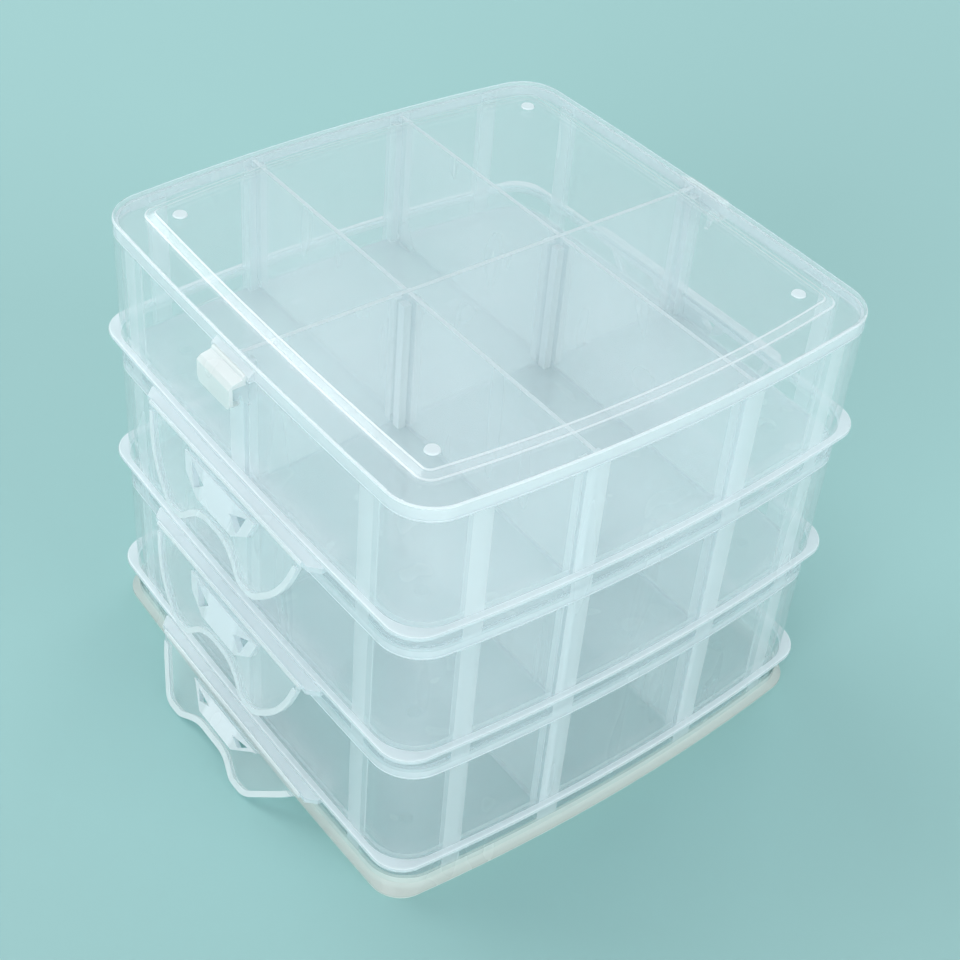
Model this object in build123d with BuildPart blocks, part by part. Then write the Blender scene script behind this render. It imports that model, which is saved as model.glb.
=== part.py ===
"""Three-layer stacking bead organizer: three trays of six compartments, clipped together under one lid.

Frame: +Z up, origin at the centre of the base, millimetres. The clips are on the -X and +X sides.
Every tray is set out from its own ledge line, and every seam from its rim plane.
"""
from build123d import *
import os
from math import cos, radians, sin

os.makedirs("parts", exist_ok=True)

# ---------------------------------------------------------------- body
half_x = 73.2             # outer wall, corner to corner, half of the X side
half_y = 71.4             # outer wall, corner to corner, half of the Y side
bulge_x = 1.4             # how far the middle of each X side stands out
bulge_y = 4.7             # how far the middle of each Y side stands out
corner_radius = 12.5      # outer wall corner
wall = 1.5                # tray wall
floor_thickness = 1.3
layer_pitch = 43.0        # ledge line of one tray to the ledge line of the next
base_height = 12.8        # table to the ledge line of the bottom tray
floor_drop = 6.8          # ledge line down to the underside of the floor
cove = 1.6                # fillet between floor and wall, inside

ledge_out = 1.8           # how far the ledge stands out from the wall
ledge_thickness = 1.5
ledge_round = 0.6
flare_corner_radius = 9.6 # corners of the ledges and of the foot, squarer than the walls

# ---------------------------------------------------------------- seams
skirt_wall = 0.7          # skirt of a tray or of the lid, around the rim below it
skirt_overlap = 3.0
rim_fit = 0.06            # play between a skirt and the rim inside it
seam_gap = 0.1            # free height under a skirt

foot_out = 1.1            # how far the base foot flares from the wall
foot_edge = 0.8           # upright edge of the foot at the table
foot_rise = 3.4           # table to the top of the flare

# ---------------------------------------------------------------- lid
lid_thickness = 1.3
lid_round = 0.7
panel_inset = 7.8         # lid edge to the foot of the raised panel
panel_slope = 2.8         # width of the slope up to the panel
panel_rise = 1.0
stud_radius = 2.0         # moulded dots on the lid and on the floors
stud_height = 0.4
stud_taper = 30           # degrees from upright
stud_inset = 15.5         # outer wall to the dots, from both walls

# ---------------------------------------------------------------- dividers and what holds them
divider_thickness = 1.2
divider_play = 0.2        # each side of a divider in its channel
divider_end_gap = 0.3
divider_head_gap = 0.2    # divider top to the piece above
divider_corner = 2.0      # cut corner at a divider's foot, clear of the cove
column_x = 24.8           # short dividers from the centre
channel_depth = 2.6
channel_rib = 2.2
channel_top_drop = 2.0    # rim plane down to the top of the channels
pilaster_inset = 17.3     # outer wall to the flat strips beside the corners
pilaster_width = 5.0
pilaster_depth = 0.5

# ---------------------------------------------------------------- lugs on the walls, under each rim
lug_reach = 4.45          # wall to the lug's outer face
lug_half_width = 6.4
lug_drop = 4.4            # rim plane to the lug's top
lug_height = 4.2          # top to the lower edge of its lip
lug_thickness = 1.5
rib_out = 0.5             # rib along the lug's top edge that the tab hooks under
rib_height = 0.8
gusset_height = 7.0
gusset_thickness = 1.2

# ---------------------------------------------------------------- lid catches
hinge_play = 0.07         # bead in its groove
catch_bead = 0.75         # radius of the bead that the catch turns on
catch_axis_out = 1.6      # wall to the hinge line
catch_axis_drop = 2.2     # rim plane to the hinge line
catch_half_width = 7.4
catch_thickness = 1.1
catch_gap = 0.3           # catch to the lug inside it
catch_barb = 1.0          # how far the barb reaches under the lug's lip
catch_play = 0.5          # lug's lip to the barb
catch_block_end = 1.2     # groove block beyond each end of the catch
catch_corner = 1.6        # rounded lower corners of the catch

# ---------------------------------------------------------------- side buckles of the trays
buckle_bead = 0.8
buckle_axis_out = 4.4     # wall to the hinge line
buckle_axis_drop = 1.3    # ledge line to the hinge line
buckle_half_length = 36.4
buckle_web = 0.7
buckle_rim_width = 1.7
buckle_rim_thickness = 1.5
plate_start = 2.0         # hinge line to where the rim and the tab begin

hip_inset = 4.4           # end of the hinge line in to the hips
lobe_outer = 21.0         # corners of the lobed edge, from the middle
lobe_inner = 14.0
saddle = 7.0
hip_rise = 9.3            # edge of the lobes up to the hips
hip_round = 28.0
lobe_outer_round = 8.0
lobe_inner_round = 7.0
saddle_round = 13.0
lobe_depth = 22.8         # hinge line to the edge of the finger lobes
middle_depth = 15.4       # hinge line to the edge between the lobes
base_lobe_depth = 13.8    # the same on the bottom tray, shorter to clear the table
base_middle_depth = 10.4

tab_half_width = 16.8     # stiff tab in the middle: at its root, at its shoulders and at its tip
tab_shoulder = 15.0
tab_tip = 8.5
tab_shoulder_rise = 4.5   # tip up to the shoulders
tab_thickness = 1.8
tab_barb_height = 0.9
tab_play = 0.2            # barb to the rib above it and to the lug beside it
base_tab_depth = 7.4      # hinge line to the tip on the bottom tray
window_near = 6.2         # three-sided windows beside the solid middle of the tab
window_foot = 10.4
window_far = 13.2
window_margin = 0.9       # root of the tab to the window
window_rise = 2.0         # tip of the tab up to the window
hang_closed = 11.0        # degrees from straight down, clipped to the tray below
hang_base = 38.0          # bottom tray, splayed so that the lobes stay above the table
bracket_end = 2.0         # widened ledge beyond each end of the buckle
bracket_thickness = 1.6

# ---------------------------------------------------------------- worked out from them
rim_rise = layer_pitch - floor_drop                  # ledge line up to the rim plane
side_x = half_x + bulge_x                            # outer wall at the middle of an X side
slot = divider_thickness + 2 * divider_play
buckle_axis_x = side_x + buckle_axis_out
catch_axis_x = side_x + catch_axis_out
ledge_lines = {
    "bottom": base_height,
    "middle": base_height + layer_pitch,
    "top": base_height + 2 * layer_pitch,
}
lid_seat = ledge_lines["top"] + rim_rise
sides = {"left": -1, "right": 1}


# ---------------------------------------------------------------- plan outlines
def plan(outset, radius=None):
    """Plan outline of the body with its convex sides, set out from the outer wall face."""
    x = half_x + outset
    y = half_y + outset
    with BuildSketch() as outline:
        with BuildLine():
            ThreePointArc((x, -y), (x + bulge_x, 0), (x, y))
            ThreePointArc((x, y), (0, y + bulge_y), (-x, y))
            ThreePointArc((-x, y), (-x - bulge_x, 0), (-x, -y))
            ThreePointArc((-x, -y), (0, -y - bulge_y), (x, -y))
        make_face()
        fillet(outline.vertices(), radius or corner_radius + outset)
    return outline.sketch


outer = plan(0)
inner = plan(-wall)
skirt_inner = plan(-skirt_wall)
rim_outer = plan(-skirt_wall - rim_fit)
mid_wall = plan(-wall / 2)


def arc_height(place, half_chord, bulge):
    """Height over its chord, at a place along it, of the arc that a bulged side follows."""
    arc_radius = (half_chord**2 + bulge**2) / (2 * bulge)
    return (arc_radius**2 - place**2) ** 0.5 - (arc_radius - bulge)


def inner_y(x):
    """Inner face of a Y wall at a distance x along it."""
    return half_y - wall + arc_height(x, half_x - wall, bulge_y)


def inner_x(y):
    """Inner face of an X wall at a distance y along it."""
    return half_x - wall + arc_height(y, half_y - wall, bulge_x)


# ---------------------------------------------------------------- shapes that every tray shares
with BuildPart() as cavity:
    # the hollow of a tray over its floor, with the rounded foot of the walls
    with BuildSketch():
        add(inner)
    extrude(amount=rim_rise + floor_drop)
    fillet(cavity.faces().sort_by(Axis.Z)[0].edges(), cove)

with BuildPart() as ledge:
    with BuildSketch(Plane.XY.offset(-ledge_thickness / 2)):
        add(plan(ledge_out, flare_corner_radius))
    extrude(amount=ledge_thickness)
    fillet(ledge.edges().filter_by(Plane.XY), ledge_round)
    with BuildSketch(Plane.XY.offset(-ledge_thickness / 2)):
        add(mid_wall)
    extrude(amount=ledge_thickness, mode=Mode.SUBTRACT)

with BuildPart() as foot:
    with BuildSketch():
        add(plan(foot_out, flare_corner_radius))
    extrude(amount=foot_edge)
    with BuildSketch(Plane.XY.offset(foot_edge)):
        add(plan(foot_out, flare_corner_radius))
    with BuildSketch(Plane.XY.offset(foot_rise)):
        add(outer)
    loft()
    with BuildSketch():
        add(skirt_inner)
    extrude(amount=foot_rise, mode=Mode.SUBTRACT)


def ring(outside, inside, bottom, top):
    """Upright ring between two plan outlines, added to the part being built."""
    with BuildSketch(Plane.XY.offset(bottom)) as section:
        add(outside)
        add(inside, mode=Mode.SUBTRACT)
    extrude(section.sketch, amount=top - bottom)


def wall_strip(x, y, width, depth, bottom, top):
    """Upright strip on the inside of the wall: (x, y) is on the wall's inner face."""
    across_x = abs(y) > abs(x)
    toward = -1 if (y if across_x else x) > 0 else 1
    run = depth + wall / 2
    shift = toward * (depth - run / 2)
    with BuildSketch(Plane.XY.offset(bottom)) as section:
        with Locations((x, y + shift) if across_x else (x + shift, y)):
            Rectangle(width if across_x else run, run if across_x else width)
        add(mid_wall, mode=Mode.INTERSECT)
    extrude(section.sketch, amount=top - bottom)


def wall_fittings(bottom, top):
    """Channels for the dividers' ends, a pair of ribs each, and flat strips beside the corners."""
    rib_shift = (slot + channel_rib) / 2
    for end in (-1, 1):
        for rib in (-rib_shift, rib_shift):
            wall_strip(end * inner_x(0), rib, channel_rib, channel_depth, bottom, top)
            for column in (-column_x, column_x):
                wall_strip(column + rib, end * inner_y(column_x), channel_rib, channel_depth, bottom, top)
        for beside in (-1, 1):
            along_x = beside * (half_x - pilaster_inset)
            wall_strip(along_x, end * inner_y(along_x), pilaster_width, pilaster_depth, bottom, top)
            along_y = beside * (half_y - pilaster_inset)
            wall_strip(end * inner_x(along_y), along_y, pilaster_width, pilaster_depth, bottom, top)


def studs(height):
    """Four low moulded dots, one near each corner, standing on a level face."""
    with BuildSketch(Plane.XY.offset(height)) as dots:
        with GridLocations(2 * (half_x - stud_inset), 2 * (half_y - stud_inset), 2, 2):
            Circle(stud_radius)
    extrude(dots.sketch, amount=stud_height, taper=stud_taper)


def side_prism(side, points, half_width, middle=0):
    """Prism across an X side from its profile: each point is (distance out from the wall, height)."""
    with BuildSketch(Plane.XZ.offset(-middle)) as profile:
        with BuildLine():
            Polyline([(side * (side_x + out), height) for out, height in points], close=True)
        make_face()
    extrude(profile.sketch, amount=half_width, both=True)


def lug(side, rim):
    """Lug under a rim: a shelf with a lip turned down, a rib along its edge and two gussets."""
    root = -wall / 2
    top = rim - lug_drop
    lip_inner = lug_reach - lug_thickness
    side_prism(
        side,
        [
            (root, top),
            (lug_reach + rib_out, top),
            (lug_reach + rib_out, top - rib_height),
            (lug_reach, top - rib_height),
            (lug_reach, top - lug_height),
            (lip_inner, top - lug_height),
            (lip_inner, top - lug_thickness),
            (root, top - lug_thickness),
        ],
        lug_half_width,
    )
    gusset = [
        (root, top - lug_thickness / 2),
        (lip_inner + lug_thickness / 2, top - lug_thickness / 2),
        (lip_inner, top - lug_height + lug_thickness),
        (lug_thickness / 2, top - gusset_height),
        (root, top - gusset_height),
    ]
    for end in (-1, 1):
        side_prism(side, gusset, gusset_thickness / 2, end * (lug_half_width - gusset_thickness / 2))


def bracket(side, ledge_line):
    """Widened ledge that carries a buckle, with the groove that its bead turns in."""
    axis_height = ledge_line - buckle_axis_drop
    edge = buckle_axis_x - hinge_play
    end = buckle_half_length + bracket_end
    slant = buckle_axis_out - ledge_out
    with BuildSketch(Plane.XY.offset(axis_height - bracket_thickness / 2)) as shelf_plan:
        with BuildLine():
            Polyline(
                (side * (side_x - wall / 2), -end - slant),
                (side * (edge - slant), -end - slant),
                (side * edge, -end),
                (side * edge, end),
                (side * (edge - slant), end + slant),
                (side * (side_x - wall / 2), end + slant),
                close=True,
            )
        make_face()
    extrude(shelf_plan.sketch, amount=bracket_thickness)
    with BuildSketch(Plane.XZ) as groove:
        with Locations((side * buckle_axis_x, axis_height)):
            Circle(buckle_bead + hinge_play)
    extrude(groove.sketch, amount=buckle_half_length + hinge_play, both=True, mode=Mode.SUBTRACT)


# ---------------------------------------------------------------- trays
for layer, ledge_line in ledge_lines.items():
    floor_bottom = ledge_line - floor_drop
    floor_top = floor_bottom + floor_thickness
    rim = ledge_line + rim_rise
    seam = rim - skirt_overlap - seam_gap
    with BuildPart() as tray:
        with BuildSketch(Plane.XY.offset(floor_bottom)):
            add(outer)
        extrude(amount=seam - floor_bottom)
        with BuildSketch(Plane.XY.offset(seam)):
            add(rim_outer)
        extrude(amount=rim - seam)
        add(cavity.part.moved(Location((0, 0, floor_top))), mode=Mode.SUBTRACT)
        add(ledge.part.moved(Location((0, 0, ledge_line))))
        if layer == "bottom":
            ring(outer, skirt_inner, foot_rise, floor_bottom)
            add(foot.part)
        else:
            ring(outer, skirt_inner, floor_bottom - skirt_overlap, floor_bottom)
        wall_fittings(floor_top, rim - channel_top_drop)
        studs(floor_top)
        for side in sides.values():
            lug(side, rim)
            bracket(side, ledge_line)
    tray.part.label = f"tray_{layer}"
    export_step(tray.part, f"parts/tray_{layer}.step")

# ---------------------------------------------------------------- dividers
for layer, ledge_line in ledge_lines.items():
    foot_height = ledge_line - floor_drop + floor_thickness
    height = rim_rise + floor_drop - floor_thickness - divider_head_gap
    row_half = inner_x(0) - divider_end_gap
    post_shift = (slot + channel_rib) / 2
    with BuildPart() as row_divider:
        with BuildSketch(Plane.XZ):
            with Locations((0, foot_height + height / 2)):
                Rectangle(2 * row_half, height)
        extrude(amount=divider_thickness / 2, both=True)
        foot_corners = row_divider.edges().filter_by(Axis.Y).group_by(Axis.Z)[0]
        chamfer(foot_corners, divider_corner)
        # posts that hold the inner ends of the short dividers
        with BuildSketch(Plane.XY.offset(foot_height)):
            for column in (-column_x, column_x):
                with Locations((column - post_shift, 0), (column + post_shift, 0)):
                    Rectangle(channel_rib, divider_thickness + 2 * channel_depth)
        extrude(amount=height - channel_top_drop)
    row_divider.part.label = f"row_divider_{layer}"
    export_step(row_divider.part, f"parts/row_divider_{layer}.step")

    near = divider_thickness / 2 + divider_end_gap
    far = inner_y(column_x) - divider_end_gap
    for column_name, column_side in sides.items():
        for row_name, row_side in {"front": -1, "back": 1}.items():
            with BuildPart() as column_divider:
                with BuildSketch(Plane.YZ.offset(column_side * column_x)):
                    with Locations((row_side * (near + far) / 2, foot_height + height / 2)):
                        Rectangle(far - near, height)
                extrude(amount=divider_thickness / 2, both=True)
                foot_edges = column_divider.edges().filter_by(Axis.X).group_by(Axis.Z)[0]
                chamfer(foot_edges.sort_by(Axis.Y)[0 if row_side < 0 else -1], divider_corner)
            name = f"column_divider_{layer}_{row_name}_{column_name}"
            column_divider.part.label = name
            export_step(column_divider.part, f"parts/{name}.step")

# ---------------------------------------------------------------- lid
with BuildPart() as lid:
    with BuildSketch(Plane.XY.offset(lid_seat)):
        add(outer)
    extrude(amount=lid_thickness)
    fillet(lid.faces().sort_by(Axis.Z)[-1].edges(), lid_round)
    ring(outer, skirt_inner, lid_seat - skirt_overlap, lid_seat)
    lid_top = lid_seat + lid_thickness
    with BuildSketch(Plane.XY.offset(lid_top)):
        add(plan(-panel_inset))
    with BuildSketch(Plane.XY.offset(lid_top + panel_rise)):
        add(plan(-panel_inset - panel_slope))
    loft()
    with BuildSketch(Plane.XY.offset(lid_seat)):
        add(plan(-panel_inset))
    with BuildSketch(Plane.XY.offset(lid_seat + panel_rise)):
        add(plan(-panel_inset - panel_slope))
    loft(mode=Mode.SUBTRACT)
    studs(lid_top + panel_rise)
    for side in sides.values():
        # block on the skirt with the groove that a catch's bead turns in
        block_bottom = lid_seat - skirt_overlap
        block_top = lid_seat - catch_axis_drop + catch_bead
        block_edge = catch_axis_out - hinge_play
        side_prism(
            side,
            [(-skirt_wall / 2, block_bottom), (block_edge, block_bottom), (block_edge, block_top),
             (-skirt_wall / 2, block_top + block_edge)],
            catch_half_width + catch_block_end,
        )
        with BuildSketch(Plane.XZ):
            with Locations((side * catch_axis_x, lid_seat - catch_axis_drop)):
                Circle(catch_bead + hinge_play)
        extrude(amount=catch_half_width + hinge_play, both=True, mode=Mode.SUBTRACT)
lid.part.label = "lid"
export_step(lid.part, "parts/lid.step")

# ---------------------------------------------------------------- lid catches
lug_top = lid_seat - lug_drop
shelf = lug_top + catch_gap                          # underside of the catch over the lug
face = lug_reach + rib_out + catch_gap               # inner face of the catch outside the lug
barb_top = lug_top - lug_height - catch_play
for side_name, side in sides.items():
    with BuildPart() as catch:
        with BuildSketch(Plane.XZ):
            with Locations((side * catch_axis_x, lid_seat - catch_axis_drop)):
                Circle(catch_bead)
        extrude(amount=catch_half_width, both=True)
        side_prism(
            side,
            [
                (catch_axis_out, shelf),
                (catch_axis_out, lid_seat - catch_axis_drop),
                (face, shelf + catch_thickness),
                (face + catch_thickness, shelf),
                (face + catch_thickness, barb_top - catch_thickness),
                (lug_reach - catch_barb / 2, barb_top - catch_thickness),
                (lug_reach - catch_barb, barb_top),
                (face, barb_top),
                (face, shelf),
            ],
            catch_half_width,
        )
        fillet(catch.edges().filter_by(Axis.X).group_by(Axis.Z)[0], catch_corner)
    catch.part.label = f"lid_catch_{side_name}"
    export_step(catch.part, f"parts/lid_catch_{side_name}.step")

# ---------------------------------------------------------------- buckles
# the rib's lower corner seen from the hinge line, turned into the buckle's own frame
hang = radians(hang_closed)
rib_x = lug_reach + rib_out - buckle_axis_out
rib_z = floor_drop + lug_drop + rib_height - buckle_axis_drop
catching_depth = rib_x * sin(hang) + rib_z * cos(hang) + tab_play
lug_x = lug_reach + tab_play - buckle_axis_out
barb_reach = (catching_depth * sin(hang) - lug_x) / cos(hang)


def lobed_outline(edge_depth, saddle_depth):
    """Outline of a buckle: hinge line along the top, a finger lobe at each side of the middle."""
    corners = [
        (buckle_half_length, 0),
        (buckle_half_length - hip_inset, hip_rise - edge_depth),
        (lobe_outer, -edge_depth),
        (lobe_inner, -edge_depth),
        (saddle, -saddle_depth),
    ]
    rounds = [hip_round, lobe_outer_round, lobe_inner_round, saddle_round]
    with BuildSketch() as outline:
        with BuildLine():
            FilletPolyline(*corners, *[(-x, y) for x, y in reversed(corners)], radius=rounds + rounds[::-1])
            Line((-buckle_half_length, 0), (buckle_half_length, 0))
        make_face()
    return outline.sketch


def tab_outline(tip_depth):
    """Stiff tab in the middle of a buckle, with a three-sided window at each side."""
    window_top = plate_start + window_margin
    window_bottom = tip_depth - window_rise
    with BuildSketch() as outline:
        with BuildLine():
            Polyline(
                (tab_half_width, -plate_start),
                (tab_shoulder, tab_shoulder_rise - tip_depth),
                (tab_tip, -tip_depth),
                (-tab_tip, -tip_depth),
                (-tab_shoulder, tab_shoulder_rise - tip_depth),
                (-tab_half_width, -plate_start),
                close=True,
            )
        make_face()
    with BuildSketch() as windows:
        for end in (-1, 1):
            with BuildLine():
                Polyline(
                    (end * window_far, -window_top),
                    (end * window_near, -(window_top + window_bottom) / 2),
                    (end * window_foot, -window_bottom),
                    close=True,
                )
            make_face()
    return outline.sketch, windows.sketch


for layer, ledge_line in ledge_lines.items():
    if layer == "bottom":
        hang = radians(hang_base)
        lobes = lobed_outline(base_lobe_depth, base_middle_depth)
        tip_depth = base_tab_depth
    else:
        hang = radians(hang_closed)
        lobes = lobed_outline(lobe_depth, middle_depth)
        tip_depth = catching_depth + tab_barb_height
    tab, windows = tab_outline(tip_depth)
    for side_name, side in sides.items():
        axis_point = (side * buckle_axis_x, 0, ledge_line - buckle_axis_drop)
        outward = (side * cos(hang), 0, sin(hang))
        flat = Plane(origin=axis_point, x_dir=(0, side, 0), z_dir=outward)
        across = Plane(origin=axis_point, x_dir=outward, z_dir=(0, -side, 0))
        with BuildPart() as buckle:
            with BuildSketch(across):
                Circle(buckle_bead)
            extrude(amount=buckle_half_length, both=True)
            with BuildSketch(flat):
                add(lobes)
            extrude(amount=buckle_web / 2, both=True)
            with BuildSketch(flat):
                add(lobes)
                offset(lobes, amount=-buckle_rim_width, mode=Mode.SUBTRACT)
                with Locations((0, -plate_start / 2)):
                    Rectangle(2 * buckle_half_length, plate_start, mode=Mode.SUBTRACT)
            extrude(amount=buckle_rim_thickness / 2, both=True)
            with BuildSketch(flat):
                add(tab)
            extrude(amount=tab_thickness / 2, both=True)
            with BuildSketch(across):
                with BuildLine():
                    Polyline(
                        (0, tab_barb_height - tip_depth),
                        (-barb_reach, tab_barb_height - tip_depth),
                        (-barb_reach + tab_barb_height / 2, -tip_depth),
                        (0, -tip_depth),
                        close=True,
                    )
                make_face()
            extrude(amount=lug_half_width - tab_play, both=True)
            with BuildSketch(flat):
                add(windows)
            extrude(amount=tab_thickness, both=True, mode=Mode.SUBTRACT)
        buckle.part.label = f"buckle_{layer}_{side_name}"
        export_step(buckle.part, f"parts/buckle_{layer}_{side_name}.step")
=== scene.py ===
"""Looks of a three-layer stacking bead organizer: its plastics, a floor, lamps and a camera.

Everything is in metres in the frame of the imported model: +Z up, the origin at the centre of
the base. The walls are see-through plastic with a milky haze, and every edge, flange and rib
gathers more of it. The sizes that place a finish's masks are in millimetres.
"""
import logging
import math
from dataclasses import dataclass, field
from enum import Enum
from typing import Any, Optional, Union

import bpy
import numpy as np
from mathutils import Matrix, Vector


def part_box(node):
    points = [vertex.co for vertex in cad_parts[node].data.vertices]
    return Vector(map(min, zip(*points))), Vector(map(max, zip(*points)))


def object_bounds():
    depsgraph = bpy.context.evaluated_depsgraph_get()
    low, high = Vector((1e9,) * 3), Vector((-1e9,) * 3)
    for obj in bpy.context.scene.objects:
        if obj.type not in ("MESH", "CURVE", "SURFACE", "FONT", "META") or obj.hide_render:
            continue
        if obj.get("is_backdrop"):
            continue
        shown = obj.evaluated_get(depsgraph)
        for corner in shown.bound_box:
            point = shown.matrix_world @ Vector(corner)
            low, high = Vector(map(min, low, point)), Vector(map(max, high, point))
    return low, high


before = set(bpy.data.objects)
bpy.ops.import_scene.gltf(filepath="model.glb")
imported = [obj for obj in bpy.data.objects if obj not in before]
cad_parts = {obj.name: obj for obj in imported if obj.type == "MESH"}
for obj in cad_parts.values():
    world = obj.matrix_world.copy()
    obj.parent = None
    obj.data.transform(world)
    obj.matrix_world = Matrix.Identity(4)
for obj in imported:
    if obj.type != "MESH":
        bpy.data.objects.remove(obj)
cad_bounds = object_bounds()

log = logging.getLogger("organizer")
Colour = tuple[float, float, float]
Point = tuple[float, float, float]
Span = tuple[float, float]        # where a smooth step begins and ends
MM = 0.001
MIDDLE = 0.5                      # the value that a noise pattern lies about
OCTAVE = 0.55                     # strength of each finer octave of noise, beside the last
WHITE: Colour = (1.0, 1.0, 1.0)


class Side(Enum):
    """The two sides that carry clips, by the sign of X."""

    LEFT = -1
    RIGHT = 1


class Layer(Enum):
    """The three trays, by how many lie below each."""

    BOTTOM = 0
    MIDDLE = 1
    TOP = 2


class Across(Enum):
    """The axis that a divider's thickness lies along, as a component of a vector."""

    X = 0
    Y = 1


# ---------------------------------------------------------------- shader maths
class Value:
    """A number that changes over a surface: a socket whose arithmetic adds Math nodes."""

    def __init__(self, nodes: "Nodes", socket: bpy.types.NodeSocket) -> None:
        """Wraps one output socket.

        Args:
            nodes: The tree where new Math nodes go.
            socket: The socket that gives the number.
        """
        self.nodes = nodes
        self.socket = socket

    def math(self, operation: str, *others: "Number", clamp: bool = False) -> "Value":
        """Adds one Math node with this value first.

        Args:
            operation: The Math node's operation.
            others: The operands that follow this one.
            clamp: Whether the result is held between 0 and 1.

        Returns:
            The node's result.
        """
        sockets = {0: self, **{place + 1: other for place, other in enumerate(others)}}
        settings = {"operation": operation, "use_clamp": clamp}
        return self.nodes.value("ShaderNodeMath", settings, sockets)

    def flipped(self, operation: str, first: float) -> "Value":
        """Adds one Math node with a plain number first, for the reflected operators.

        Args:
            operation: The Math node's operation.
            first: The operand that this value follows.

        Returns:
            The node's result.
        """
        return self.nodes.value("ShaderNodeMath", {"operation": operation}, {0: first, 1: self})

    def __add__(self, other: "Number") -> "Value":
        """Sum."""
        return self.math("ADD", other)

    def __radd__(self, other: float) -> "Value":
        """Sum with a plain number first."""
        return self.flipped("ADD", other)

    def __sub__(self, other: "Number") -> "Value":
        """Difference."""
        return self.math("SUBTRACT", other)

    def __rsub__(self, other: float) -> "Value":
        """Difference from a plain number."""
        return self.flipped("SUBTRACT", other)

    def __mul__(self, other: "Number") -> "Value":
        """Product."""
        return self.math("MULTIPLY", other)

    def __rmul__(self, other: float) -> "Value":
        """Product with a plain number first."""
        return self.flipped("MULTIPLY", other)

    def __truediv__(self, other: "Number") -> "Value":
        """Quotient."""
        return self.math("DIVIDE", other)

    def __rtruediv__(self, other: float) -> "Value":
        """Quotient with a plain number first."""
        return self.flipped("DIVIDE", other)

    def __pow__(self, other: "Number") -> "Value":
        """Power."""
        return self.math("POWER", other)

    def __abs__(self) -> "Value":
        """Distance from zero."""
        return self.math("ABSOLUTE")

    def held(self) -> "Value":
        """The same, held between 0 and 1."""
        return self.math("ADD", 0.0, clamp=True)

    def either(self, other: "Number") -> "Value":
        """The larger of the two, so that either mask counts."""
        return self.math("MAXIMUM", other)

    def step(self, low: float, high: float) -> "Value":
        """Makes a smooth step.

        Args:
            low: Where the step begins, at 0.
            high: Where it ends, at 1. It may be below low, for a falling step.

        Returns:
            0 before low, 1 past high and an S curve between.
        """
        results = (0.0, 1.0) if high > low else (1.0, 0.0)
        ends = {1: min(low, high), 2: max(low, high), 3: results[0], 4: results[1]}
        settings = {"interpolation_type": "SMOOTHSTEP"}
        return self.nodes.value("ShaderNodeMapRange", settings, {0: self, **ends})

    def band(self, low: float, high: float, blur: float) -> "Value":
        """1 between low and high, falling to 0 over blur outside them."""
        return self.step(low - blur, low) * self.step(high + blur, high)


Number = Union[Value, float]


class Nodes:
    """The nodes of a material or of the world, all added in one way."""

    def __init__(self, tree: bpy.types.NodeTree) -> None:
        """Empties a tree.

        Args:
            tree: The tree that the nodes go into.
        """
        self.tree = tree
        self.tree.nodes.clear()

    def node(self, kind: str, settings: Optional[dict[str, Any]] = None,
             sockets: Optional[dict[Union[int, str], Any]] = None) -> bpy.types.Node:
        """Adds one node.

        Args:
            kind: The node's type.
            settings: Its own properties, set first.
            sockets: Values or links of its inputs, by place or name.

        Returns:
            The new node.
        """
        made = self.tree.nodes.new(kind)
        for name, setting in (settings or {}).items():
            setattr(made, name, setting)
        for name, value in (sockets or {}).items():
            source = value.socket if isinstance(value, Value) else value
            if isinstance(source, bpy.types.NodeSocket):
                self.tree.links.new(source, made.inputs[name])
            else:
                made.inputs[name].default_value = source
        return made

    def value(self, kind: str, settings: Optional[dict[str, Any]] = None,
              sockets: Optional[dict[Union[int, str], Any]] = None,
              output: Union[int, str] = 0) -> Value:
        """Adds one node and wraps the number that it gives.

        Args:
            kind: The node's type.
            settings: Its own properties.
            sockets: Values or links of its inputs.
            output: The output that is wrapped, by place or name.

        Returns:
            The number.
        """
        return Value(self, self.node(kind, settings, sockets).outputs[output])

    def mixed(self, share: Number, first: bpy.types.NodeSocket,
              second: bpy.types.NodeSocket) -> bpy.types.NodeSocket:
        """Mixes two shaders.

        Args:
            share: 0 for the first, 1 for the second.
            first: A shader's socket.
            second: The same.

        Returns:
            The mixed shader's socket.
        """
        sockets = {0: share, 1: first, 2: second}
        return self.node("ShaderNodeMixShader", sockets=sockets).outputs[0]


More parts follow.
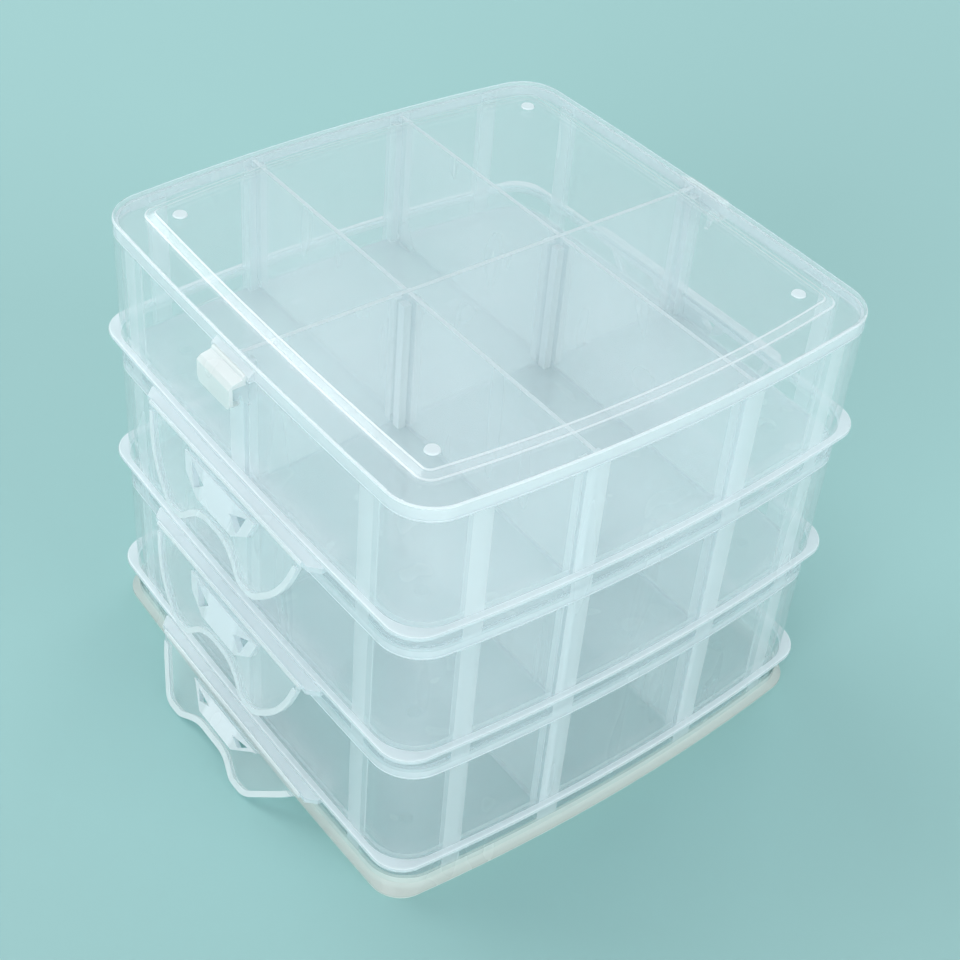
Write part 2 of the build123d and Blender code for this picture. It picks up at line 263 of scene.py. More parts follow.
class Shader(Nodes):
    """The nodes of one material, with the sockets that its patterns start from."""

    def __init__(self, name: str) -> None:
        """Makes an empty material.

        Args:
            name: The material's name.
        """
        self.material = bpy.data.materials.new(name)
        self.material.use_nodes = True
        super().__init__(self.material.node_tree)
        self.coordinates = self.node("ShaderNodeTexCoord")

    @property
    def place(self) -> bpy.types.NodeSocket:
        """The point on the piece at rest, in metres."""
        return self.coordinates.outputs["Object"]

    def split(self, vector: bpy.types.NodeSocket) -> list[Value]:
        """Takes a vector apart.

        Args:
            vector: The vector's socket.

        Returns:
            Its three components.
        """
        parts = self.node("ShaderNodeSeparateXYZ", sockets={0: vector})
        return [Value(self, socket) for socket in parts.outputs]

    def point(self) -> list[Value]:
        """X, Y and Z of the point on the piece at rest, in millimetres."""
        return [component / MM for component in self.split(self.place)]

    def normal(self) -> list[Value]:
        """X, Y and Z of the way the surface faces."""
        return self.split(self.coordinates.outputs["Normal"])

    def facing(self) -> list[Value]:
        """How squarely the surface faces along X, Y and Z, each from 0 to 1."""
        return [abs(component) for component in self.normal()]

    def noise(self, size: float, stretch: Point = (1.0, 1.0, 1.0), detail: float = 2.0) -> Value:
        """Makes a soft random pattern.

        Args:
            size: Width of one blotch, in metres.
            stretch: How much longer the blotches are along X, Y and Z.
            detail: How many finer octaves are laid over it.

        Returns:
            A value about MIDDLE.
        """
        scale = tuple(1 / longer for longer in stretch)
        spread = self.node("ShaderNodeMapping", {"vector_type": "POINT"},
                           {"Vector": self.place, "Scale": scale})
        return self.value("ShaderNodeTexNoise", {"noise_dimensions": "3D"}, {
            "Vector": spread.outputs[0], "Scale": 1 / size, "Detail": detail, "Roughness": OCTAVE,
        })

    def blend(self, share: Value, first: Any, second: Any) -> bpy.types.NodeSocket:
        """Mixes two colours.

        Args:
            share: 0 for the first, 1 for the second.
            first: A colour or a colour socket.
            second: The same.

        Returns:
            The mixed colour's socket.
        """
        ends = [(*c, 1.0) if isinstance(c, tuple) else c for c in (first, second)]
        settings = {"data_type": "RGBA", "clamp_factor": True}
        made = self.node("ShaderNodeMix", settings, {0: share, 6: ends[0], 7: ends[1]})
        return made.outputs[2]

    def bump(self, height: Value, depth: float) -> bpy.types.NodeSocket:
        """Makes relief in the surface.

        Args:
            height: The relief, from 0 to 1.
            depth: How deep 1 is, in metres.

        Returns:
            The normal's socket.
        """
        made = self.node("ShaderNodeBump", sockets={"Height": height, "Distance": depth})
        return made.outputs[0]

    def finish(self, surface: bpy.types.NodeSocket) -> bpy.types.Material:
        """Joins the last shader to the output and hands over the material."""
        self.node("ShaderNodeOutputMaterial", sockets={"Surface": surface})
        return self.material


# ---------------------------------------------------------------- plastics
@dataclass(frozen=True)
class Haze:
    """How milky a place is: its colour, and the share of what lies behind one face it hides."""

    colour: Colour
    cover: float


@dataclass(frozen=True)
class Plastic:
    """Moulded polypropylene, clear with a milky haze that gathers in edges and thick places."""

    name: str
    sheet: Haze = Haze((0.93, 0.97, 1.0), 0.12)
    edge: Haze = Haze((0.91, 0.955, 0.98), 0.92)
    thick: Haze = Haze((0.92, 0.97, 0.99), 0.46)
    index: float = 1.49                   # refractive index, for the haze's own sheen
    roughness: float = 0.24
    satin: float = 0.10                   # how much rougher its dullest patches are
    glow: float = 0.30                    # share of the haze's light that comes from behind
    light: Colour = (0.93, 0.965, 1.0)    # colour of that light
    cloud_size: float = 0.034             # metres
    cloud_share: float = 0.35             # how unevenly the haze lies
    flow_finer: float = 3.0               # how many times finer the flow lines are
    flow_stretch: float = 5.0             # how much taller than wide they are
    flow_share: float = 0.3               # how much they count beside the clouds
    pale_start: float = 0.35              # cloud value where the haze begins to pale
    pale_rate: float = 0.9                # how fast it pales from there on
    paling: float = 0.5                   # how far the palest haze goes towards white
    whitest: float = 0.98
    ripple_size: float = 0.016            # metres
    ripple_depth: float = 0.00006         # metres
    flat_shine: float = 0.035             # mirrored share of light that falls squarely
    glance_shine: float = 0.75            # mirrored share at a glancing angle
    glance_power: float = 4.0             # how late the one turns into the other

    def edges(self, shader: Shader) -> Value:
        """Masks the thin edges, which gather light. Each piece says where its own are.

        Args:
            shader: The material's nodes.

        Returns:
            1 on the edges.
        """
        raise NotImplementedError

    def thicks(self, shader: Shader) -> Value:
        """Masks the thick or doubled places. Each piece says where its own are.

        Args:
            shader: The material's nodes.

        Returns:
            1 in those places.
        """
        raise NotImplementedError

    def tinted(self, shader: Shader, tint: bpy.types.NodeSocket) -> bpy.types.NodeSocket:
        """The haze's colour after a last change, which a piece of two colours makes here."""
        return tint

    def cover(self, edge: Value, thick: Value, patches: Value) -> Value:
        """Works out how much of what lies behind one face is hidden.

        Args:
            edge: The mask of the edges.
            thick: The mask of the thick places.
            patches: How unevenly the haze lies, about 0.

        Returns:
            The share, from 0 to 1.
        """
        sheet = self.sheet.cover * (1 + patches * (2 * self.cloud_share))
        deeper = sheet + thick * (self.thick.cover - self.sheet.cover)
        return deeper.either(edge * self.edge.cover).held()

    def tint(self, shader: Shader, edge: Value, thick: Value,
             cloud: Value) -> bpy.types.NodeSocket:
        """Works out the haze's colour.

        Args:
            shader: The material's nodes.
            edge: The mask of the edges.
            thick: The mask of the thick places.
            cloud: The cloud pattern.

        Returns:
            The colour's socket.
        """
        colour = shader.blend(thick, self.sheet.colour, self.thick.colour)
        colour = shader.blend(edge, colour, self.edge.colour)
        pale = tuple((part + (1 - part) * self.paling) * self.whitest
                     for part in self.sheet.colour)
        paler = (cloud - self.pale_start) * self.pale_rate
        return self.tinted(shader, shader.blend(paler, colour, pale))

    def material(self) -> bpy.types.Material:
        """Builds the nodes: haze over clear plastic, under a sheen that grows at a glance.

        Returns:
            The material.
        """
        shader = Shader(self.name)
        edge = self.edges(shader)
        thick = self.thicks(shader)
        cloud = shader.noise(self.cloud_size, detail=1.0)
        flow = shader.noise(self.cloud_size / self.flow_finer,
                            stretch=(1.0, 1.0, self.flow_stretch), detail=1.0) - MIDDLE
        cover = self.cover(edge, thick, cloud - MIDDLE + flow * self.flow_share)
        tint = self.tint(shader, edge, thick, cloud)
        wavy = shader.bump(shader.noise(self.ripple_size, detail=0.0), self.ripple_depth)
        rough = self.roughness + flow * (2 * self.satin)
        front = shader.node("ShaderNodeBsdfPrincipled", sockets={
            "Base Color": tint, "Roughness": rough, "Normal": wavy, "IOR": self.index,
        })
        behind = shader.node("ShaderNodeBsdfTranslucent", sockets={
            "Color": (*self.light, 1.0), "Normal": wavy,
        })
        milk = shader.mixed(self.glow, front.outputs[0], behind.outputs[0])
        clear = shader.node("ShaderNodeBsdfTransparent", sockets={"Color": (*WHITE, 1.0)})
        body = shader.mixed(cover, clear.outputs[0], milk)
        glance = shader.value("ShaderNodeLayerWeight", sockets={"Normal": wavy}, output="Facing")
        more = glance ** self.glance_power * (self.glance_shine - self.flat_shine)
        mirror = shader.node("ShaderNodeBsdfGlossy", sockets={
            "Color": (*WHITE, 1.0), "Roughness": rough, "Normal": wavy,
        })
        return shader.finish(shader.mixed(self.flat_shine + more, body, mirror.outputs[0]))


@dataclass(frozen=True)
class TrayPlastic(Plastic):
    """A tray: whiter at its rim, ledge, skirt or foot, ribs, floor and lugs, in mm from the rim."""

    rim: float = 0.0                      # height of the rim plane above the base
    blur: float = 0.3                     # how softly most masks end
    level: Span = (0.55, 0.8)             # how squarely a level edge faces up or down
    flat: Span = (0.8, 0.95)              # the same for the floor
    ledge_drop: float = 36.2              # rim down to the ledge line
    ledge_half: float = 0.75
    floor_drop: float = 43.0              # rim down to the underside of the floor
    floor_thickness: float = 1.3
    floor_margin: float = 0.2
    floor_share: float = 0.6              # share of the thick places' haze that it has
    below_span: Span = (0.1, 0.6)         # where its underside gives way to skirt or foot
    skirt_drop: float = 46.0              # rim down to the lower edge of the skirt or foot
    skirt_edge: Span = (0.7, 0.3)         # how far up that edge reaches
    seam: Span = (3.4, 3.0)               # rim down to where the seam begins and is whole
    seam_share: float = 0.5
    rib_inner_x: float = 70.3             # ribs and walls lie outside these, from the centre
    rib_inner_y: float = 71.0
    column: float = 24.8                  # channels of the short dividers, from the centre
    channel_half: float = 3.2
    pilaster: tuple[float, float] = (55.9, 54.1)
    pilaster_half: float = 2.6
    pilaster_share: float = 0.8
    fittings: Span = (74.9, 75.3)         # lugs and brackets lie outside this, along X
    foot: Optional[Colour] = None         # colour of the foot ring, where there is one
    foot_cover: float = 1.9               # how much milkier it is than other thick places
    foot_tint: float = 0.9                # how fully it has its colour

    def height(self, shader: Shader) -> Value:
        """Height above the rim plane, so below 0 nearly everywhere."""
        return shader.point()[2] - self.rim

    def below(self, shader: Shader) -> Value:
        """Mask of everything under the floor, from just below its underside."""
        start, end = self.below_span
        return self.height(shader).step(-self.floor_drop - start, -self.floor_drop - end)

    def tinted(self, shader: Shader, tint: bpy.types.NodeSocket) -> bpy.types.NodeSocket:
        """Gives the foot ring its creamier colour.

        Args:
            shader: The material's nodes.
            tint: The haze's colour.

        Returns:
            The changed colour.
        """
        if self.foot is None:
            return tint
        return shader.blend(self.below(shader) * self.foot_tint, tint, self.foot)

    def edges(self, shader: Shader) -> Value:
        """Masks level edges above and below the floor, and the lowest edge of all.

        Args:
            shader: The material's nodes.

        Returns:
            1 on the edges.
        """
        height = self.height(shader)
        level = shader.facing()[2].step(*self.level)
        floor_top = self.floor_thickness - self.floor_drop
        above_floor = height.step(floor_top + self.blur, floor_top + 2 * self.blur)
        under_floor = height.step(-self.floor_drop - self.blur, -self.floor_drop - 2 * self.blur)
        start, end = self.skirt_edge
        lowest = height.step(start - self.skirt_drop, end - self.skirt_drop)
        return (level * above_floor.either(under_floor)).either(lowest)

    def strip(self, place: Value, middle: float, half: float) -> Value:
        """1 on an upright strip about one place along a wall, and on its mirror image."""
        return abs(place - middle).step(half + self.blur, half)

    def ribs(self, shader: Shader) -> Value:
        """Masks the strips of the walls that carry a divider's channel or a flat pilaster.

        Args:
            shader: The material's nodes.

        Returns:
            1 on a channel's strip, and less on a pilaster.
        """
        x, y, _ = (abs(part) for part in shader.point())
        near_x = x.step(self.rib_inner_x, self.rib_inner_x + self.blur)
        near_y = y.step(self.rib_inner_y, self.rib_inner_y + self.blur)
        column = self.strip(x, self.column, self.channel_half)
        row = self.strip(y, 0.0, self.channel_half)
        beside_x = self.strip(x, self.pilaster[0], self.pilaster_half) * self.pilaster_share
        beside_y = self.strip(y, self.pilaster[1], self.pilaster_half) * self.pilaster_share
        return (near_y * column.either(beside_x)).either(near_x * row.either(beside_y))

    def thicks(self, shader: Shader) -> Value:
        """Masks ledge, skirt or foot, seam under the rim, ribs, floor, lugs and brackets.

        Args:
            shader: The material's nodes.

        Returns:
            How thick each place counts as, 1 for the ledge.
        """
        height = self.height(shader)
        ledge = height.band(-self.ledge_drop - self.ledge_half,
                            -self.ledge_drop + self.ledge_half, self.blur / 2)
        below = self.below(shader) * (1.0 if self.foot is None else self.foot_cover)
        seam = height.step(-self.seam[0], -self.seam[1]) * self.seam_share
        fitting = abs(shader.point()[0]).step(*self.fittings)
        floor = height.band(-self.floor_drop - self.floor_margin,
                            self.floor_thickness - self.floor_drop + self.floor_margin,
                            self.floor_margin)
        floor = floor * shader.facing()[2].step(*self.flat) * self.floor_share
        whole = ledge
        for mask in (below, seam, fitting, floor, self.ribs(shader)):
            whole = whole.either(mask)
        return whole


@dataclass(frozen=True)
class SheetPlastic(Plastic):
    """A divider: its cut edges are bright, and its big faces clear. Sizes are in mm."""

    across: Across = Across.Y
    on_end: Span = (0.8, 0.5)             # how little an edge faces across the sheet
    posts_from: Span = (0.7, 0.9)         # where the posts begin, from the middle plane

    def edges(self, shader: Shader) -> Value:
        """Mask of every face that isn't one of the two big ones."""
        return shader.facing()[self.across.value].step(*self.on_end)

    def thicks(self, shader: Shader) -> Value:
        """Mask of the posts that stand out from the long sheet. The short ones have none."""
        out = abs(shader.point()[self.across.value])
        return out.step(*self.posts_from) * float(self.across is Across.Y)


@dataclass(frozen=True)
class LidPlastic(Plastic):
    """The lid: clearer on top, whiter at its skirt, rounded edge and the slope of its panel."""

    seat: float = 135.0                   # height of the rim plane it lies on, mm
    top: float = 1.3                      # seat up to the lid's top
    rise: float = 1.0                     # top up to the raised panel
    tilt: Span = (0.87, 0.975)            # how nearly the slope faces up
    tilt_blur: float = 0.01
    border: Span = (0.02, 0.17)           # where each border line lies, from the slope's end
    border_blur: float = 0.04
    border_share: float = 0.85
    slope_share: float = 0.4
    corner: Span = (0.12, 0.86)           # how nearly the rounded edge faces up
    corner_blur: float = 0.06
    corner_drop: Span = (1.6, 1.4)        # top down to where it begins
    skirt: Span = (-0.1, -0.4)            # height of the skirt, from the seat
    skirt_edge: Span = (-2.4, -2.7)       # height of its lower edge, from the seat
    skirt_share: float = 0.9
    upright: Span = (0.5, 0.2)            # how little an upright face looks up
    above_seat: Span = (0.0, 0.05)        # height of everything over the seat, from it
    stud: Span = (0.03, 0.1)              # height of the studs, from the raised panel

    def edges(self, shader: Shader) -> Value:
        """Masks both borders of the slope, the rounded edge, the skirt's lower edge, the studs.

        Args:
            shader: The material's nodes.

        Returns:
            1 on the edges.
        """
        level = shader.facing()[2]
        height = shader.point()[2] - self.seat
        near, far = self.border
        panel = self.top + self.rise
        lower = height.band(self.top + near, self.top + far, self.border_blur)
        upper = height.band(panel - far, panel - near, self.border_blur)
        tilted = level.band(*self.tilt, self.tilt_blur)
        slope = tilted * lower.either(upper) * self.border_share
        rounded = level.band(*self.corner, self.corner_blur)
        corner = rounded * height.step(self.top - self.corner_drop[0],
                                       self.top - self.corner_drop[1])
        stud = height.step(panel + self.stud[0], panel + self.stud[1])
        return slope.either(corner).either(height.step(*self.skirt_edge)).either(stud)

    def thicks(self, shader: Shader) -> Value:
        """Masks the skirt, and more faintly the slope round the panel.

        Args:
            shader: The material's nodes.

        Returns:
            How thick each place counts as, 1 for upright faces.
        """
        level = shader.facing()[2]
        height = shader.point()[2] - self.seat
        tilted = level.band(*self.tilt, self.tilt_blur)
        slope = tilted * height.step(*self.above_seat) * self.slope_share
        skirt = height.step(*self.skirt) * self.skirt_share
        return level.step(*self.upright).either(skirt).either(slope)


@dataclass(frozen=True)
class BucklePlastic(Plastic):
    """A side buckle: a clear web inside a bright rim, with a milky tab. Sizes are in mm."""

    side: Side = Side.LEFT
    hinge_x: float = 79.0                 # hinge line from the centre plane
    hinge_z: float = 97.5
    hang: float = 11.0                    # degrees from straight down
    on_end: Span = (0.75, 0.35)           # how little an edge faces across the web
    rim_from: Span = (0.43, 0.65)         # rim and bead, from the middle plane
    tab_from: Span = (0.79, 0.88)         # the tab, from the middle plane
    tab_middle: Span = (9.0, 6.0)         # its whiter middle, along Y
    tab_ends_share: float = 0.55
    tab_middle_share: float = 0.4

    def off_plane(self, shader: Shader) -> Value:
        """Works out how far a point lies from the buckle's middle plane.

        Args:
            shader: The material's nodes.

        Returns:
            The distance, in mm.
        """
        x, _, z = shader.point()
        turn = math.radians(self.hang)
        outward = (x * self.side.value - self.hinge_x) * math.cos(turn)
        return abs(outward + (z - self.hinge_z) * math.sin(turn))

    def edges(self, shader: Shader) -> Value:
        """Masks the faces that stand on end, round outline and windows alike, and the tab.

        Args:
            shader: The material's nodes.

        Returns:
            1 on the end faces, and less on the tab.
        """
        turn = math.radians(self.hang)
        x, _, z = shader.normal()
        square = abs(x * self.side.value * math.cos(turn) + z * math.sin(turn))
        tab = self.off_plane(shader).step(*self.tab_from)
        middle = abs(shader.point()[1]).step(*self.tab_middle)
        milky = tab * (self.tab_ends_share + middle * self.tab_middle_share)
        return square.step(*self.on_end).either(milky)

    def thicks(self, shader: Shader) -> Value:
        """Mask of the rim, the bead and the tab, which stand out from the web."""
        return self.off_plane(shader).step(*self.rim_from)


@dataclass(frozen=True)
class CatchPlastic(Plastic):
    """A lid catch: thick and milky all over, with whiter edges."""

    on_end: Span = (0.3, 0.8)             # how squarely an end face looks along Y

    def edges(self, shader: Shader) -> Value:
        """Mask of the end faces and corners."""
        return shader.facing()[1].step(*self.on_end)

    def thicks(self, shader: Shader) -> Value:
        """Everywhere: the haze is even but for its clouds."""
        return shader.facing()[2] * 0.0 + 1.0


# ---------------------------------------------------------------- sub-assemblies
def dress(node: str, material: bpy.types.Material) -> None:
    """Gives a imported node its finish.

    Args:
        node: The node's name.
        material: The finish for all of its faces.
    """
    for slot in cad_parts[node].material_slots:
        slot.material = material
    log.info("dressed %s with %s", node, material.name)


@dataclass
class Tray:
    """One tray with its dividers and its two buckles. Sizes are in mm."""

    layer: Layer
    pitch: float = 43.0                   # one ledge line to the next
    base_ledge: float = 12.8              # table to the bottom tray's ledge line
    hinge_drop: float = 1.3               # ledge line down to the hinge line
    hinge_x: float = 79.0
    hang_closed: float = 11.0             # degrees that a closed buckle hangs out
    hang_base: float = 38.0               # the same for the bottom tray's, splayed ones
    cream: Colour = (0.87, 0.91, 0.845)
    buckle_sheet: Haze = Haze((0.93, 0.97, 0.99), 0.15)
    buckle_thick: Haze = Haze((0.95, 0.97, 0.97), 0.62)

    @property
    def name(self) -> str:
        """The layer's name as the nodes give it."""
        return self.layer.name.lower()

    @property
    def is_base(self) -> bool:
        """Whether this is the tray that stands on the table."""
        return self.layer is Layer.BOTTOM

    def dress_tray(self) -> None:
        """Finishes the tray itself. The bottom one's foot is denser and creamier."""
        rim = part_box(f"tray_{self.name}")[1].z / MM
        own = {"foot": self.cream, "skirt_drop": rim} if self.is_base else {}
        finish = TrayPlastic(f"frosted_tray_{self.name}", rim=rim, **own)
        dress(f"tray_{self.name}", finish.material())

    def dress_dividers(self, row: bpy.types.Material, column: bpy.types.Material) -> None:
        """Finishes the long divider and the four short ones.

        Args:
            row: The finish of the long divider.
            column: The finish of the short ones.
        """
        dress(f"row_divider_{self.name}", row)
        for place in ("front", "back"):
            for side in Side:
                dress(f"column_divider_{self.name}_{place}_{side.name.lower()}", column)

    def dress_buckles(self) -> None:
        """Finishes the two buckles, each by where its own plane lies."""
        hang = self.hang_base if self.is_base else self.hang_closed
        hinge_z = self.base_ledge + self.pitch * self.layer.value - self.hinge_drop
        for side in Side:
            node = f"buckle_{self.name}_{side.name.lower()}"
            finish = BucklePlastic(
                f"clear_{node}", side=side, hinge_x=self.hinge_x, hinge_z=hinge_z, hang=hang,
                sheet=self.buckle_sheet, thick=self.buckle_thick,
            )
            dress(node, finish.material())

    def build(self, row: bpy.types.Material, column: bpy.types.Material) -> None:
        """Dresses the whole layer.

        Args:
            row: The finish of the long divider.
            column: The finish of the short ones.
        """
        self.dress_tray()
        self.dress_dividers(row, column)
        self.dress_buckles()


@dataclass
class Lid:
    """The lid and the two catches that hold it down."""

    skirt: float = 3.0                    # mm, how far it reaches down over the rim
    sheet: Haze = Haze((0.93, 0.97, 1.0), 0.11)
    thick: Haze = Haze((0.95, 0.98, 0.99), 0.42)
    roughness: float = 0.17
    satin: float = 0.07
    ripple_depth: float = 0.00003         # metres
    catch_sheet: Haze = Haze((0.95, 0.96, 0.94), 0.7)
    catch_thick: Haze = Haze((0.96, 0.965, 0.94), 0.76)
    catch_edge: Haze = Haze((0.97, 0.975, 0.965), 0.88)
    catch_clouds: float = 0.2

    def dress_lid(self) -> None:
        """Finishes the lid, which is clearer and glossier than the trays."""
        finish = LidPlastic(
            "clear_lid", seat=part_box("lid")[0].z / MM + self.skirt, sheet=self.sheet,
            thick=self.thick, roughness=self.roughness, satin=self.satin,
            ripple_depth=self.ripple_depth,
        )
        dress("lid", finish.material())

    def dress_catches(self) -> None:
        """Finishes the two catches, which are the milkiest pieces."""
        milky = CatchPlastic(
            "milky_catch", sheet=self.catch_sheet, thick=self.catch_thick,
            edge=self.catch_edge, cloud_share=self.catch_clouds,
        ).material()
        for side in Side:
            dress(f"lid_catch_{side.name.lower()}", milky)

    def build(self) -> None:
        """Dresses the lid and its catches."""
        self.dress_lid()
        self.dress_catches()


@dataclass
class Organizer:
    """The whole box."""

    trays: list[Tray] = field(default_factory=lambda: [Tray(layer) for layer in Layer])
    lid: Lid = field(default_factory=Lid)
    divider_sheet: Haze = Haze((0.94, 0.98, 1.0), 0.25)
    divider_posts: Haze = Haze((0.96, 0.98, 0.97), 0.66)

    def build(self) -> None:
        """Dresses every layer and the lid."""
        row = SheetPlastic("frosted_row_divider", sheet=self.divider_sheet,
                           thick=self.divider_posts, across=Across.Y).material()
        column = SheetPlastic("frosted_column_divider", sheet=self.divider_sheet,
                              across=Across.X).material()
        for tray in self.trays:
            tray.build(row, column)
        self.lid.build()


# ---------------------------------------------------------------- the room
@dataclass
class Floor:
    """A plain pale floor that turns into the backdrop far from the box, in metres."""

    backdrop: Colour
    half: float = 5.0
    cells: int = 24
    colour: Colour = (0.36, 0.60, 0.585)
    mottle: float = 0.975                 # how dark its darker patches are
    mottle_size: float = 0.35
    mottle_detail: float = 3.0
    grain_size: float = 0.0015
    grain_depth: float = 0.00002
    roughness: float = 0.62
    roughness_spread: float = 0.1
    specular: float = 0.25
    fade: Span = (0.5, 1.5)               # distance from the middle

    def mesh(self) -> bpy.types.Mesh:
        """Makes a level square grid, whose points are every pairing of even steps in X and Y.

        Returns:
            The mesh.
        """
        line = np.linspace(-self.half, self.half, self.cells + 1)
        x, y = np.meshgrid(line, line, indexing="ij")
        points = np.stack([x.ravel(), y.ravel(), np.zeros(x.size)], axis=1)
        index = np.arange(x.size).reshape(x.shape)
        corners = [index[:-1, :-1], index[1:, :-1], index[1:, 1:], index[:-1, 1:]]
        quads = np.stack(corners, axis=-1).reshape(-1, 4)
        mesh = bpy.data.meshes.new("floor")
        mesh.from_pydata(points.tolist(), [], quads.tolist())
        return mesh

    def finish(self) -> bpy.types.Material:
        """Makes a matt, faintly mottled paint that the camera sees fade into the backdrop.

        Returns:
            The material.
        """
        shader = Shader("pale_floor")
        soft = shader.noise(self.mottle_size, detail=self.mottle_detail)
        darker = tuple(self.mottle * part for part in self.colour)
        matt = shader.node("ShaderNodeBsdfPrincipled", sockets={
            "Base Color": shader.blend(soft, self.colour, darker),
            "Roughness": self.roughness + soft * self.roughness_spread,
            "Normal": shader.bump(shader.noise(self.grain_size), self.grain_depth),
            "Specular IOR Level": self.specular,
        })
        reach = shader.value("ShaderNodeVectorMath", {"operation": "LENGTH"},
                             {0: shader.place}, output="Value")
        seen = shader.value("ShaderNodeLightPath", output="Is Camera Ray")
        shown = shader.node("ShaderNodeEmission", sockets={
            "Color": (*self.backdrop, 1.0), "Strength": 1.0,
        })
        share = reach.step(*self.fade) * seen
        return shader.finish(shader.mixed(share, matt.outputs[0], shown.outputs[0]))

    def build(self) -> None:
        """Puts the floor into the scene, marked as no part of the object."""
        mesh = self.mesh()
        mesh.materials.append(self.finish())
        piece = bpy.data.objects.new("floor", mesh)
        bpy.context.scene.collection.objects.link(piece)
        piece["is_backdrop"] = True
        log.info("laid %s with %s", piece.name, mesh.materials[0].name)


@dataclass(frozen=True)
class Lamp:
    """A square soft lamp that looks at the middle of the box."""

    name: str
    place: Point                          # metres
    size: float                           # length of its side, metres
    power: float                          # watts
    colour: Colour
    mirrored: bool = False                # whether it shows in glossy surfaces
    aim: Point = (0.0, 0.0, 0.06)

    def build(self) -> None:
        """Hangs the lamp."""
        data = bpy.data.lights.new(self.name, "AREA")
        data.shape = "SQUARE"
        data.size = self.size
        data.energy = self.power
        data.color = self.colour
        piece = bpy.data.objects.new(self.name, data)
        beam = Vector(self.aim) - Vector(self.place)
        piece.location = self.place
        piece.rotation_euler = beam.to_track_quat("-Z", "Y").to_euler()
        piece.visible_camera = False
        piece.visible_glossy = self.mirrored
        bpy.context.scene.collection.objects.link(piece)
        log.info("hung the %s lamp", self.name)


LAMPS = (
    Lamp("key", (-0.45, 1.4, 1.7), 1.5, 18.5, (0.97, 0.985, 1.0), mirrored=True),
    Lamp("left", (-2.9, -1.35, 0.95), 2.0, 62.0, (0.95, 0.98, 1.0)),
    Lamp("front", (1.0, -3.0, 0.95), 2.0, 45.0, (0.97, 0.985, 1.0)),
    Lamp("right", (3.0, 1.5, 1.0), 2.0, 43.0, (0.95, 0.98, 1.0)),
)


@dataclass
class Studio:
    """Floor, lamps, and even light from all round with a plain backdrop in its place."""

    backdrop: Colour = (0.37, 0.625, 0.62)
    surround: Colour = (0.92, 0.965, 1.0)
    surround_light: float = 0.50

    def world(self) -> None:
        """Makes the even light, and the backdrop that is seen in place of it, also mirrored."""
        world = bpy.data.worlds.new("studio")
        world.use_nodes = True
        nodes = Nodes(world.node_tree)
        path = nodes.node("ShaderNodeLightPath")
        rays = ("Is Camera Ray", "Is Transmission Ray", "Is Glossy Ray")
        camera, through, mirrored = (Value(nodes, path.outputs[ray]) for ray in rays)
        seen = camera.either(through).either(mirrored)
        light = nodes.node("ShaderNodeBackground", sockets={
            "Color": (*self.surround, 1.0), "Strength": self.surround_light,
        })
        shown = nodes.node("ShaderNodeBackground", sockets={"Color": (*self.backdrop, 1.0)})
        whole = nodes.mixed(seen, light.outputs[0], shown.outputs[0])
        nodes.node("ShaderNodeOutputWorld", sockets={"Surface": whole})
        world.cycles.sampling_method = "NONE"
        bpy.context.scene.world = world
        log.info("lit the surround")

    def build(self) -> None:
        """Sets up floor, lamps and surround."""
        Floor(self.backdrop).build()
        for lamp in LAMPS:
            lamp.build()
        self.world()


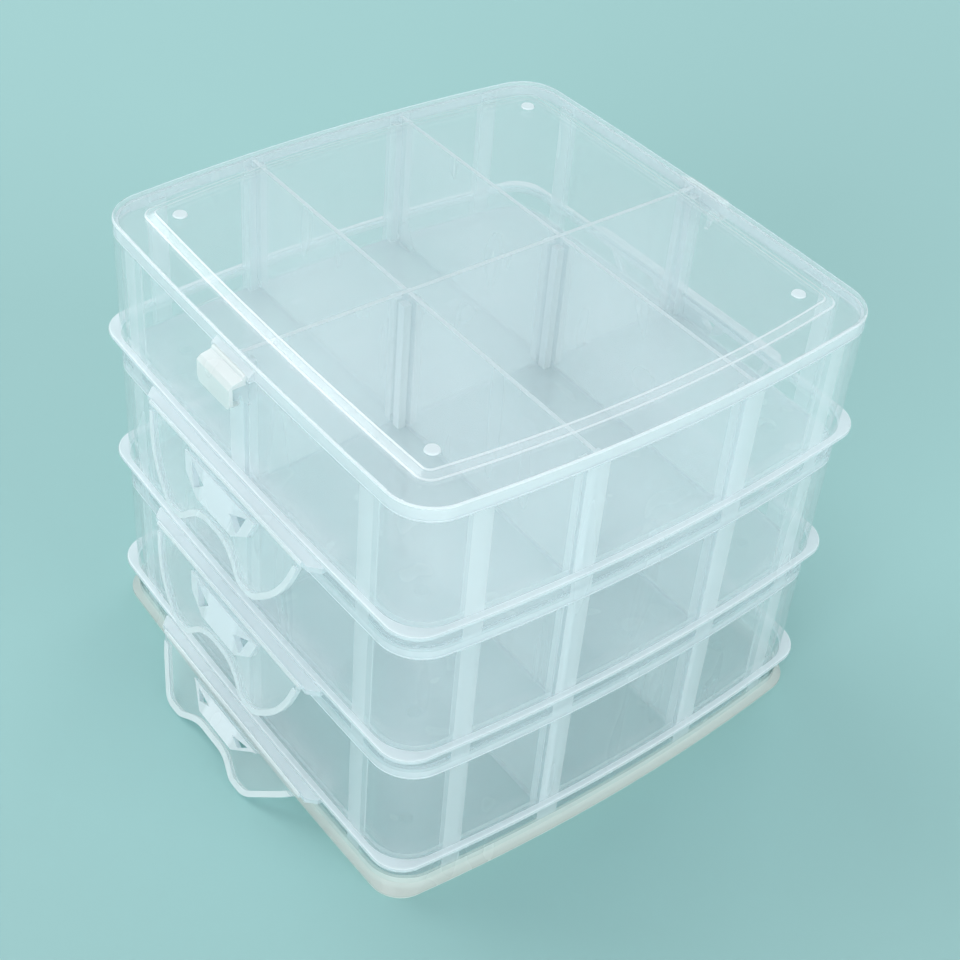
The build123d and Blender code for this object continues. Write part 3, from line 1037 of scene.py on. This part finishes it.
@dataclass
class ViewCamera:
    """The camera: where it stands, how it is turned and its lens."""

    place: Point = (-0.2376, -0.2824, 0.3801)     # metres
    azimuth: float = 319.5                # degrees, as are the next two
    elevation: float = 39.55
    roll: float = 5.33
    focal: float = 1707.24                # in pixels of a frame of the next width
    width: float = 960.0
    axis_row: float = 440.0               # the frame's row where the lens axis meets it
    sensor: float = 36.0                  # mm
    clip: Span = (0.01, 50.0)             # metres

    def turned(self) -> Matrix:
        """Works out how the camera is turned, from its right, up and backward axes.

        Returns:
            The turn, with those axes as its columns.
        """
        turn, tilt, roll = (math.radians(a) for a in (self.azimuth, self.elevation, self.roll))
        ahead = np.array([
            -math.sin(turn) * math.cos(tilt), math.cos(turn) * math.cos(tilt), -math.sin(tilt),
        ])
        right = np.cross(ahead, (0.0, 0.0, 1.0))
        right /= np.linalg.norm(right)
        up = np.cross(right, ahead)
        rolled_right = math.cos(roll) * right + math.sin(roll) * up
        rolled_up = -math.sin(roll) * right + math.cos(roll) * up
        axes = np.stack([rolled_right, rolled_up, -ahead], axis=1)
        return Matrix(axes.tolist()).to_4x4()

    def build(self) -> None:
        """Makes the camera and sets it as the scene's."""
        data = bpy.data.cameras.new("camera")
        data.sensor_width = self.sensor
        data.lens = self.focal / self.width * self.sensor
        data.shift_y = (self.axis_row - self.width / 2) / self.width
        data.clip_start, data.clip_end = self.clip
        piece = bpy.data.objects.new("camera", data)
        piece.matrix_world = Matrix.Translation(self.place) @ self.turned()
        bpy.context.scene.collection.objects.link(piece)
        bpy.context.scene.camera = piece
        log.info("set the camera, lens %.1f mm", data.lens)


@dataclass(frozen=True)
class SceneSettings:
    """How the scene shows colours, and how often light may bounce through the plastic."""

    transform: str = "Standard"
    clear_faces: int = 64                 # see-through faces that a ray may cross
    bounces: int = 9
    diffuse: int = 6
    glossy: int = 2
    light_threshold: float = 0.05         # light fainter than this may be left out

    def build(self) -> None:
        """Sets the scene's own values."""
        scene = bpy.context.scene
        scene.view_settings.view_transform = self.transform
        scene.cycles.transparent_max_bounces = self.clear_faces
        scene.cycles.max_bounces = self.bounces
        scene.cycles.diffuse_bounces = self.diffuse
        scene.cycles.glossy_bounces = self.glossy
        scene.cycles.use_light_tree = False
        scene.cycles.light_sampling_threshold = self.light_threshold


def save_sizes() -> None:
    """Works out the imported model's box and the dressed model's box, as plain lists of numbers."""
    boxes = {"cad": cad_bounds, "visual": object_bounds()}
    plain = {name: [[float(part) for part in corner] for corner in box]
             for name, box in boxes.items()}


def main() -> None:
    """Builds the camera, the room and the box, and reports each piece."""
    logging.basicConfig(level=logging.INFO, format="%(name)s: %(message)s")
    SceneSettings().build()
    ViewCamera().build()
    Studio().build()
    Organizer().build()
    save_sizes()


if __name__ == "__main__":
    main()
